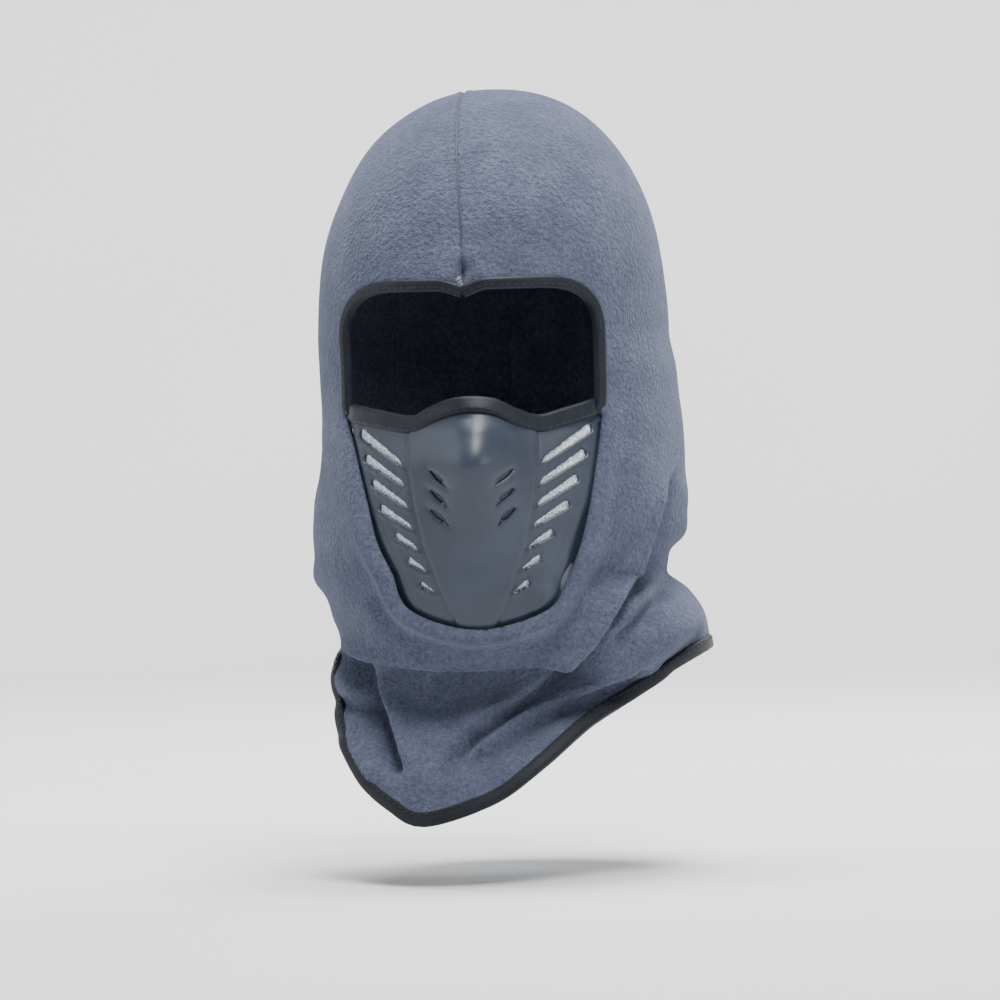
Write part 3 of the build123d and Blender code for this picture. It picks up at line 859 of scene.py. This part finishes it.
def make_nose_tape():
    """The wide tape on the mask's top edge, with its stitches."""
    line = smooth_line(NOSE_TAPE, step=1.2)
    p, n = front(line[:, 0], line[:, 1]), front_normal(line[:, 0], line[:, 1])
    # both ends sink in under the fleece
    from_end = np.minimum(line[:, 0] - line[0, 0], line[-1, 0] - line[:, 0])
    p = p - n * (2.2 * (1 - ramp(from_end, 0, 7)))[:, None]
    _, sides, up = path_frame(p, n)
    profile = tape_profile(8.2, low=-4.6, high=1.0, groove=0.6, groove_at=-0.08)
    verts, faces = sweep(p, sides, up, profile)
    make_piece("nose_edge_tape", verts, faces, MATERIALS["binding"], "binding_black", "nose_binding")
    beads = stitches(p, n, side_shift=2.6, lift=0.9, **TAPE_BEADS)
    make_piece("nose_edge_stitches", *beads, MATERIALS["black_thread"],
               "thread_black", "nose_binding_stitches")


def make_hem_tape():
    """The tape folded round the hem, all the way, with a row of stitches near its top."""
    turn = np.linspace(0, 2 * math.pi, 420)
    z = hem_height(turn)
    p = form(turn, z)
    up_the_cloth = form(turn, z + 1.0) - p
    around = form(turn + 0.01, z) - form(turn - 0.01, z)
    n = np.cross(up_the_cloth, around)
    n /= np.linalg.norm(n, axis=1, keepdims=True)
    centre = p - p.mean(0)
    n *= np.where((n[:, :2] * centre[:, :2]).sum(1) < 0, -1, 1)[:, None]
    p = p + n * relief(p)[:, None]
    _, sides, up = path_frame(p, n)
    p = p + np.where(sides[:, 2:3] < 0, -1, 1) * sides * 1.6
    profile = tape_profile(6.6, low=-3.5, high=1.1, groove=0.3, groove_at=0.28)
    verts, faces = sweep(p, sides, up, profile)
    tape = make_piece("hem_tape", verts, faces, MATERIALS["hem"], "hem_tape", "hem_binding")
    beads = stitches(p, n, side_shift=1.9, lift=1.0, **HEM_BEADS)
    thread = make_piece("hem_tape_stitches", *beads, MATERIALS["black_thread"],
                        "thread_grey", "hem_stitches")
    return [tape, thread]


# ---------------------------------------------------------------- the mask
def shield_x(z):
    """Half width of the mask's raised middle shield at height z."""
    return np.interp(-np.asarray(z, float), -SHIELD_EDGE[:, 1], SHIELD_EDGE[:, 0])


def side_vents(side):
    """Corners of each side vent: inner low, outer low, outer high, inner high."""
    out = []
    for i, long in enumerate(VENT_LENGTHS):
        z = VENT_FIRST - VENT_PITCH * i
        x = float(shield_x(z)) + 1.5
        slant = math.radians(VENT_SLANT - VENT_SLANT_STEP * i)
        outer = (x + long * math.cos(slant), z + long * math.sin(slant))
        tall = VENT_TALL - VENT_LOWER * i
        out.append([(x, z), outer, (outer[0] - 0.8, outer[1] + tall), (x + 2.0, z + tall * 0.9)])
    return [[(side * x - (side < 0) * 1.5, z) for x, z in v] for v in out]


def nose_vents(side):
    """Corners of the three leaf-shaped vents on one side of the nose."""
    out = []
    slant = math.radians(NOSE_VENT_SLANT)
    way = np.array((math.cos(slant), math.sin(slant)))
    across = np.array((-way[1], way[0]))
    for i in range(3):
        centre = np.array((NOSE_VENT_X, NOSE_VENT_FIRST - NOSE_VENT_PITCH * i))
        long, tall = NOSE_VENT_LONG / 2, NOSE_VENT_TALL / 2
        corners = [centre - way * long + across * 0.2, centre + way * long * 0.2 - across * tall,
                   centre + way * long, centre - way * long * 0.1 + across * tall]
        out.append([(side * x + 1.0 * (side > 0) - 0.5, z) for x, z in corners])
    return out


def plate_relief(x, z):
    """Height of the mask's moulded detail: raised shield, creases, vent lips, sunk edges."""
    far = 9.0
    inset = shield_x(z) - np.abs(x)
    h = 0.9 * ramp(inset, -0.7, 0.9) - 0.55 * bell(inset, -0.4, 0.6)
    for side in (1, -1):
        crease = smooth_line([(side * a, b) for a, b in OUTER_CREASE], step=4)
        _, d, _ = nearest(crease, x, z)
        outside = np.where(side * x > 20, np.maximum(side * d, 0), 0)
        h -= 0.9 * ramp(outside, 0, 8) * ramp(-z, 50, 62) + 0.35 * bell(d, 0, 0.7) * ramp(-z, 48, 60)
        for corners in side_vents(side):
            _, d_low, _ = nearest(np.array(corners[:2]), x, z)
            _, d_high, _ = nearest(np.array(corners[:1:-1]), x, z)
            below = np.where(side * d_low < 0, np.abs(d_low), far)
            above = np.where(side * d_high > 0, np.abs(d_high), far)
            h += 1.0 * bell(below, 0.4, 0.9) - 0.5 * bell(above, 0, 1.2)
        for corners in nose_vents(side):
            _, d, _ = nearest(np.array(corners), x, z, closed=True)
            h -= 0.45 * bell(d, 0, 1.3)
    h -= 1.6 * ramp(z, -24, -12)
    _, d, _ = nearest(OPENING, x, z, closed=True)
    h -= 1.2 * bell(d, 0, 1.5) * (z < -20)
    return h


def on_plate(x, z):
    """Points on the mask's outer face at (x, z)."""
    return front(x, z) + front_normal(x, z) * (plate_relief(x, z) - PLATE_INSET)[:, None]


def flat_at(x, z):
    """Points at (x, z) on the flat sheet that the mask is cut from."""
    return np.stack([x, np.full(len(x), -1.0), z], -1)


def make_plate():
    """The mask: a flat grid, cut to its outline and its vents, then laid on the form."""
    spacing = 0.95
    xs = np.arange(-66, 62, spacing)
    zs = np.arange(-116, -9, spacing)
    gx, gz = np.meshgrid(xs, zs)
    verts = flat_at(gx.ravel(), gz.ravel())
    wide = len(xs)
    faces = [(r * wide + c, r * wide + c + 1, (r + 1) * wide + c + 1, (r + 1) * wide + c)
             for r in range(len(zs) - 1) for c in range(wide - 1)]
    centre = middles(verts, faces)
    keep = inside(plate_outline(), centre[:, 0], centre[:, 2])
    verts, faces = drop_loose(verts, [f for f, k in zip(faces, keep) if k])
    holes = [rounded(v, [1.0, 1.4, 1.4, 1.0], steps=3) for s in (1, -1) for v in side_vents(s)]
    holes += [rounded(v, [0.6, 2.0, 0.6, 2.0], steps=4) for s in (1, -1) for v in nose_vents(s)]
    for outline in holes:
        verts, faces = cut_near(verts, faces, outline, flat_at)
    verts, faces = shell(on_plate(verts[:, 0], verts[:, 2]), faces, PLATE, swell=0.15)
    make_piece("vented_mask", verts, faces, MATERIALS["plate"], "mask_plastic", "mask_plate")


def make_mask_stitches():
    """The row that holds the plate under the fleece's rolled rim."""
    line = mask_line(RIM_CLEAR + 2.2)
    p, n = front(line[:, 0], line[:, 1]), front_normal(line[:, 0], line[:, 1])
    beads = stitches(p, n, side_shift=0, lift=-1.6, **MASK_BEADS)
    make_piece("mask_edge_stitches", *beads, MATERIALS["grey_thread"], "thread_grey", "mask_stitches")


def make_seam_thread():
    """The thread in the seam's groove, over the brow, the crown and down the back."""
    count, top = 260, CROWN - 1.2
    rise = np.linspace(0, 1, count)
    z_front = SEAM_FOOT + (top - SEAM_FOOT) * np.sin(rise * math.pi / 2)
    x_front = seam_x(np.full(count, -1.0), z_front)
    up = form(front_turn(x_front, z_front), z_front)
    z_back = top - (top - HEM_BACK - 7) * (1 - np.cos(rise * math.pi / 2))
    x_back = seam_x(np.full(count, 99.0), z_back)
    down = form(math.pi - front_turn(x_back, z_back), z_back)
    p = np.vstack([up, down])
    keep = np.r_[True, np.linalg.norm(np.diff(p, axis=0), axis=1) > 0.2]
    p = smooth_line(p[keep][::3], step=1.0)
    # outward is as on an ellipsoid over the widest ring, and level below it
    radii = np.array([80.0, 100.0, CROWN - WIDEST])
    out = (p - np.array([0, LEAN_BACK / 2, WIDEST])) / radii ** 2
    out[:, 2] *= p[:, 2] > WIDEST
    out /= np.linalg.norm(out, axis=1, keepdims=True)
    p = p + out * (relief(p) + 0.1)[:, None]
    _, sides, ups = path_frame(p, out)
    around = np.linspace(0, 2 * math.pi, 8, endpoint=False)
    verts, faces = sweep(p, sides, ups, np.stack([0.5 * np.cos(around), 0.35 * np.sin(around)], -1))
    return make_piece("crown_seam_thread", verts, faces, MATERIALS["seam_thread"],
                      "thread_grey", "seam_overlock")


def finish_carried():
    """Materials of the model's own thin layers, which keep their shape."""
    for node, key in (("vent_mesh_right", "mesh"), ("vent_mesh_left", "mesh"), ("mask_liner", "liner")):
        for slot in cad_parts[node].material_slots:
            slot.material = MATERIALS[key]


# ---------------------------------------------------------------- stage
def area_light(name, place, aim, size, power, colour):
    """A square light at place that shines at aim."""
    data = bpy.data.lights.new(name, "AREA")
    data.energy = power
    data.size = size
    data.color = colour
    obj = bpy.data.objects.new(name, data)
    obj.location = place
    obj.rotation_euler = (Vector(aim) - Vector(place)).to_track_quat("-Z", "Y").to_euler()
    bpy.context.scene.collection.objects.link(obj)


def make_stage(sides=96):
    """A pale round sweep: a floor that curves up into a low wall on every side."""
    floor_z, wall, bend, top = -0.225, 3.5, 0.9, 1.3
    line = [(0.6, floor_z), (1.6, floor_z), (wall - bend, floor_z)]
    for a in np.linspace(0, math.pi / 2, 13)[1:]:
        line.append((wall - bend + bend * math.sin(a), floor_z + bend * (1 - math.cos(a))))
    line.append((wall, top))
    turns = [2 * math.pi * k / sides for k in range(sides)]
    verts = [(0, 0, floor_z)] + [(r * math.cos(t), r * math.sin(t), z) for r, z in line for t in turns]
    faces = [(0, 1 + k, 1 + (k + 1) % sides) for k in range(sides)]
    for i in range(len(line) - 1):
        a, b = 1 + i * sides, 1 + (i + 1) * sides
        faces += [(a + k, b + k, b + (k + 1) % sides, a + (k + 1) % sides) for k in range(sides)]
    mesh = bpy.data.meshes.new("studio_sweep")
    mesh.from_pydata(verts, [], faces)
    mesh.polygons.foreach_set("use_smooth", [True] * len(mesh.polygons))
    mesh.materials.append(plain_material("pale_paper", srgb(205, 205, 205), 0.9))
    obj = bpy.data.objects.new("studio_sweep", mesh)
    bpy.context.scene.collection.objects.link(obj)


def light():
    """The room's even light and the area lights."""
    world = bpy.data.worlds.new("studio_air")
    world.use_nodes = True
    world.node_tree.nodes["Background"].inputs["Color"].default_value = AIR_COLOUR
    world.node_tree.nodes["Background"].inputs["Strength"].default_value = AIR_STRENGTH
    bpy.context.scene.world = world
    for row in LIGHTS:
        area_light(*row)


def make_camera():
    """A long lens level with the mask, a little to the wearer's left."""
    turn = math.radians(CAMERA_TURN)
    data = bpy.data.cameras.new("camera")
    data.sensor_width = CAMERA_SENSOR
    data.lens = CAMERA_LENS
    obj = bpy.data.objects.new("camera", data)
    bpy.context.scene.collection.objects.link(obj)
    right = Vector((math.cos(turn), math.sin(turn), 0))
    place = Vector((math.sin(turn), -math.cos(turn), 0)) * CAMERA_FAR - right * CAMERA_SIDE
    place.z = CAMERA_Z
    obj.matrix_world = (Matrix.Translation(place) @ Matrix.Rotation(turn, 4, "Z")
                        @ Matrix.Rotation(math.pi / 2, 4, "X")
                        @ Matrix.Rotation(-math.radians(CAMERA_ROLL), 4, "Z"))
    bpy.context.scene.camera = obj


hood = make_hood()
eye_tapes = make_eye_tapes()
make_bar_tack()
make_nose_tape()
hem_tapes = make_hem_tape()
seam_thread = make_seam_thread()
make_plate()
make_mask_stitches()
finish_carried()
make_stage()
light()
make_camera()
